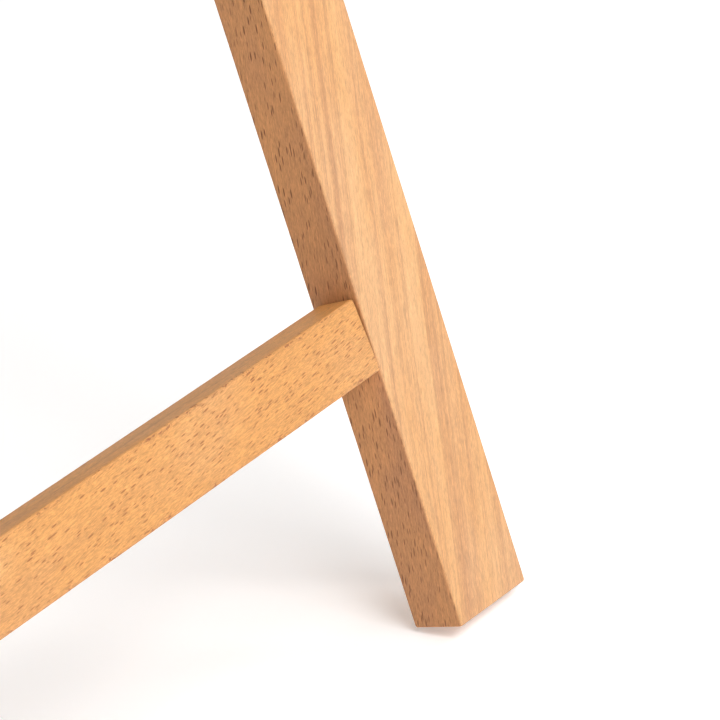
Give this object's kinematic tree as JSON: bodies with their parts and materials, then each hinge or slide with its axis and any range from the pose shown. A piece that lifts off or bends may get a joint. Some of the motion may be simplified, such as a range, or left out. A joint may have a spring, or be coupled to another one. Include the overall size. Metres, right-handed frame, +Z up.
{
  "type": "artist easel",
  "caption": "Folding wooden floor easel with splayed front legs, slotted mast, sliding canvas tray and top holder, and a hinged rear leg on a slotted stay.",
  "frame": {"origin": "on the floor, under the middle of the box round the open easel", "axes": "+Z up, -Y towards the painter in front of the easel, +X to the right of the easel as seen from its front"},
  "size_m": [0.5408, 0.6942, 1.6859],
  "materials": {
    "oiled_beech": "satin oiled beech with fine flecks",
    "zinc_steel": "zinc plated",
    "zinc_screws": "zinc plated",
    "spacer_plastic": "matte black nylon",
    "knob_plastic": "fine moulded texture",
    "insert_brass": "turned brass"
  },
  "bodies": {
    "front_frame": {"head_crossbar": "oiled_beech", "hinge_bolt": "zinc_steel", "hinge_bracket": "zinc_steel", "hinge_bracket_screws": "zinc_screws", "hinge_nut": "zinc_steel", "hinge_spacers": "spacer_plastic", "left_front_leg": "oiled_beech", "leg_joint_screws": "zinc_screws", "lower_crossbar": "oiled_beech", "mast": "oiled_beech", "mast_screws": "zinc_screws", "middle_crossbar": "oiled_beech", "right_front_leg": "oiled_beech", "stay_bracket_screws": "zinc_screws", "stay_brackets": "zinc_steel", "stay_crossbar": "oiled_beech", "stay_rivets": "zinc_steel"},
    "rear_leg": {"rear_leg": "oiled_beech"},
    "stay": {"stay_bar_right": "zinc_steel", "stay_bar_left": "zinc_steel", "stay_rod": "zinc_steel", "stay_rod_caps": "spacer_plastic"},
    "tray": {"tray_block": "oiled_beech", "tray_shelf": "oiled_beech", "tray_lip": "oiled_beech", "tray_gussets": "oiled_beech", "tray_guides": "oiled_beech", "tray_screws": "zinc_screws", "tray_bolt": "zinc_steel", "tray_washer": "zinc_steel"},
    "tray_knob": {"tray_knob": "knob_plastic", "tray_knob_insert": "insert_brass"},
    "top_holder": {"holder_block": "oiled_beech", "holder_ledge": "oiled_beech", "holder_lip": "oiled_beech", "holder_guides": "oiled_beech", "holder_screws": "zinc_screws", "holder_bolt": "zinc_steel", "holder_washer": "zinc_steel"},
    "holder_knob": {"holder_knob": "knob_plastic", "holder_knob_insert": "insert_brass"}
  },
  "joints": [
    {"name": "rear_leg_fold", "type": "hinge", "parent": "front_frame", "child": "rear_leg", "pos_m": [0, 0.06888, 1.3536], "axis": [-1, 0, 0], "range_deg": [0, 27]},
    {"name": "stay_swing", "type": "hinge", "parent": "front_frame", "child": "stay", "pos_m": [0, -0.05637, 0.91097], "axis": [-1, 0, 0], "range_deg": [0, 54]},
    {"name": "tray_slide", "type": "slide", "parent": "front_frame", "child": "tray", "axis": [0, 0.2723, 0.9622], "range_m": [-0.04, 0.44]},
    {"name": "tray_knob_turn", "type": "hinge", "parent": "tray", "child": "tray_knob", "pos_m": [0, -0.22327, 0.64435], "axis": [0, -0.9622, 0.2723], "continuous": true},
    {"name": "holder_slide", "type": "slide", "parent": "front_frame", "child": "top_holder", "axis": [0, 0.2723, 0.9622], "range_m": [-0.28, 0.12]},
    {"name": "holder_knob_turn", "type": "hinge", "parent": "top_holder", "child": "holder_knob", "pos_m": [0, 0.0294, 1.53728], "axis": [0, -0.9622, 0.2723], "continuous": true}
  ],
  "couplings": [
    {"joint": "stay_swing", "follows": "rear_leg_fold", "ratio": 2}
  ]
}
